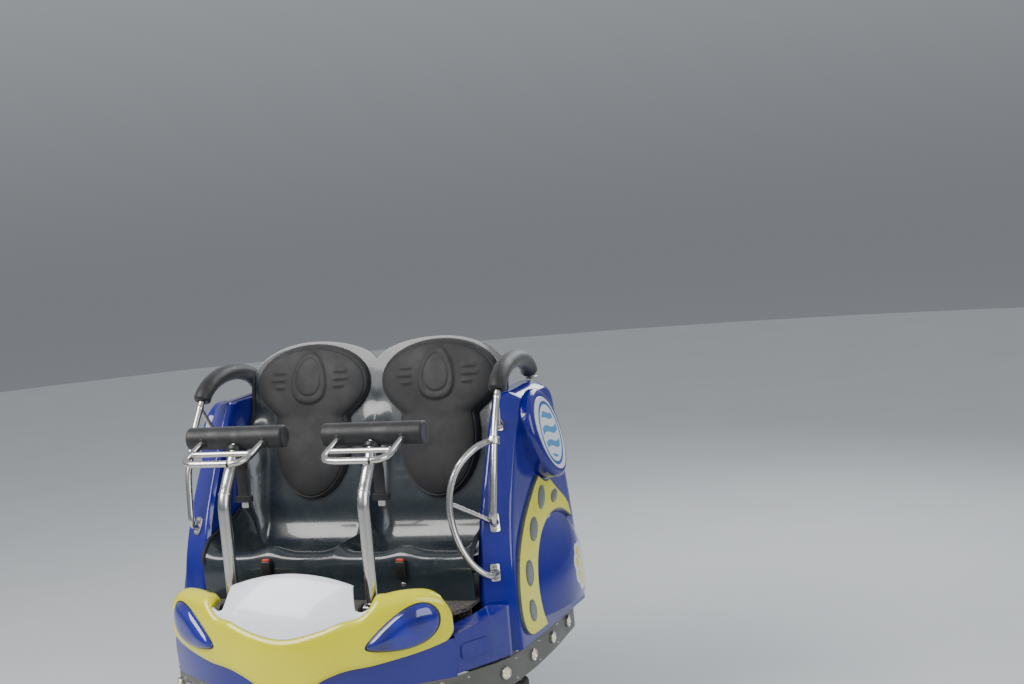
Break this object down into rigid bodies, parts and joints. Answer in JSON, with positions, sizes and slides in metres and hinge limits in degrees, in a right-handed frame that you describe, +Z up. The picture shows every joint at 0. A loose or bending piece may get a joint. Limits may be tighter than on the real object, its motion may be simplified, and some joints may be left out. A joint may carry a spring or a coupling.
{
  "type": "roller coaster car",
  "caption": "Roller coaster lead car with a double bucket seat, hinged lap bars, side shields, a rounded nose and rail wheel trucks.",
  "frame": {"origin": "on the ground under the middle of the car's box, where its under-rail wheels stand", "axes": "+Y from the nose to the rear along the rails, +X to the side, +Z up"},
  "size_m": [1.4618, 1.3239, 1.478],
  "materials": {
    "frame_steel": "satin dark grey paint",
    "floor_plate": "dark grey speckled non-slip coating",
    "blue_shell": "royal blue glossy moulded fibreglass",
    "seat_grey": "blue-grey glossy moulded fibreglass",
    "pad_foam": "charcoal matte moulded foam",
    "yellow_shell": "pale yellow glossy fibreglass",
    "spot_grey": "dark grey glossy spots",
    "white_shell": "white glossy fibreglass",
    "skirt_grey": "mid grey painted strip",
    "lamp_lens": "warm white round lamp lenses",
    "stainless": "polished stainless tube",
    "black_foam": "black closed-cell foam",
    "buckle_black": "black moulded buckle housing",
    "bogie_steel": "dark painted wheel carriers",
    "bare_steel": "bright worn steel fin",
    "belt_webbing": "black woven webbing with moulded holder",
    "wheel_tread": "dark polyurethane tread on a metal hub"
  },
  "bodies": {
    "car_body": {"chassis": "frame_steel", "floor_tub": "floor_plate", "sills": "blue_shell", "seat_frame": "frame_steel", "seat_shell": "seat_grey", "seat_pads": "pad_foam", "side_shields": "blue_shell", "side_bands": "yellow_shell", "band_spots": "spot_grey", "side_domes": "blue_shell", "side_pods": "blue_shell", "pod_plates": "white_shell", "nose_body": "blue_shell", "nose_mask": "yellow_shell", "nose_lenses": "blue_shell", "hood": "white_shell", "skirts": "skirt_grey", "lamps": "lamp_lens", "grab_rails": "stainless", "grab_foams": "black_foam", "side_loop": "stainless", "belt_buckles": "buckle_black", "lap_hinges": "frame_steel", "rear_axle": "frame_steel", "rear_bogies": "bogie_steel", "drive_fin": "bare_steel"},
    "front_truck": {"front_axle": "frame_steel", "front_bogies": "bogie_steel"},
    "lap_bar_l": {"lap_bar_left": "stainless", "lap_foam_left": "black_foam", "belt_left": "belt_webbing"},
    "lap_bar_r": {"lap_bar_right": "stainless", "lap_foam_right": "black_foam", "belt_right": "belt_webbing"},
    "run_fl": {"run_wheel_fl": "wheel_tread"},
    "run_fr": {"run_wheel_fr": "wheel_tread"},
    "run_rl": {"run_wheel_rl": "wheel_tread"},
    "run_rr": {"run_wheel_rr": "wheel_tread"},
    "guide_fl": {"guide_wheel_fl": "wheel_tread"},
    "guide_fr": {"guide_wheel_fr": "wheel_tread"},
    "guide_rl": {"guide_wheel_rl": "wheel_tread"},
    "guide_rr": {"guide_wheel_rr": "wheel_tread"},
    "under_fl": {"under_wheel_fl": "wheel_tread"},
    "under_fr": {"under_wheel_fr": "wheel_tread"},
    "under_rl": {"under_wheel_rl": "wheel_tread"},
    "under_rr": {"under_wheel_rr": "wheel_tread"}
  },
  "joints": [
    {"name": "front_steer", "type": "hinge", "parent": "car_body", "child": "front_truck", "pos_m": [0, -0.376, 0.302], "axis": [0, 0, 1], "range_deg": [-6, 6]},
    {"name": "lap_bar_l_hinge", "type": "hinge", "parent": "car_body", "child": "lap_bar_l", "pos_m": [-0.26, -0.463, 0.655], "axis": [-1, 0, 0], "range_deg": [0, 40]},
    {"name": "lap_bar_r_hinge", "type": "hinge", "parent": "car_body", "child": "lap_bar_r", "pos_m": [0.26, -0.463, 0.655], "axis": [-1, 0, 0], "range_deg": [0, 40]},
    {"name": "run_fl_spin", "type": "hinge", "parent": "front_truck", "child": "run_fl", "pos_m": [-0.35, -0.376, 0.302], "axis": [1, 0, 0], "continuous": true},
    {"name": "guide_fl_spin", "type": "hinge", "parent": "front_truck", "child": "guide_fl", "pos_m": [-0.452, -0.264, 0.157], "axis": [0, 0, 1], "continuous": true},
    {"name": "under_fl_spin", "type": "hinge", "parent": "front_truck", "child": "under_fl", "pos_m": [-0.35, -0.376, 0.055], "axis": [1, 0, 0], "continuous": true},
    {"name": "run_fr_spin", "type": "hinge", "parent": "front_truck", "child": "run_fr", "pos_m": [0.35, -0.376, 0.302], "axis": [1, 0, 0], "continuous": true},
    {"name": "guide_fr_spin", "type": "hinge", "parent": "front_truck", "child": "guide_fr", "pos_m": [0.452, -0.264, 0.157], "axis": [0, 0, 1], "continuous": true},
    {"name": "under_fr_spin", "type": "hinge", "parent": "front_truck", "child": "under_fr", "pos_m": [0.35, -0.376, 0.055], "axis": [1, 0, 0], "continuous": true},
    {"name": "run_rl_spin", "type": "hinge", "parent": "car_body", "child": "run_rl", "pos_m": [-0.35, 0.4, 0.302], "axis": [1, 0, 0], "continuous": true},
    {"name": "guide_rl_spin", "type": "hinge", "parent": "car_body", "child": "guide_rl", "pos_m": [-0.452, 0.288, 0.157], "axis": [0, 0, 1], "continuous": true},
    {"name": "under_rl_spin", "type": "hinge", "parent": "car_body", "child": "under_rl", "pos_m": [-0.35, 0.4, 0.055], "axis": [1, 0, 0], "continuous": true},
    {"name": "run_rr_spin", "type": "hinge", "parent": "car_body", "child": "run_rr", "pos_m": [0.35, 0.4, 0.302], "axis": [1, 0, 0], "continuous": true},
    {"name": "guide_rr_spin", "type": "hinge", "parent": "car_body", "child": "guide_rr", "pos_m": [0.452, 0.288, 0.157], "axis": [0, 0, 1], "continuous": true},
    {"name": "under_rr_spin", "type": "hinge", "parent": "car_body", "child": "under_rr", "pos_m": [0.35, 0.4, 0.055], "axis": [1, 0, 0], "continuous": true}
  ]
}
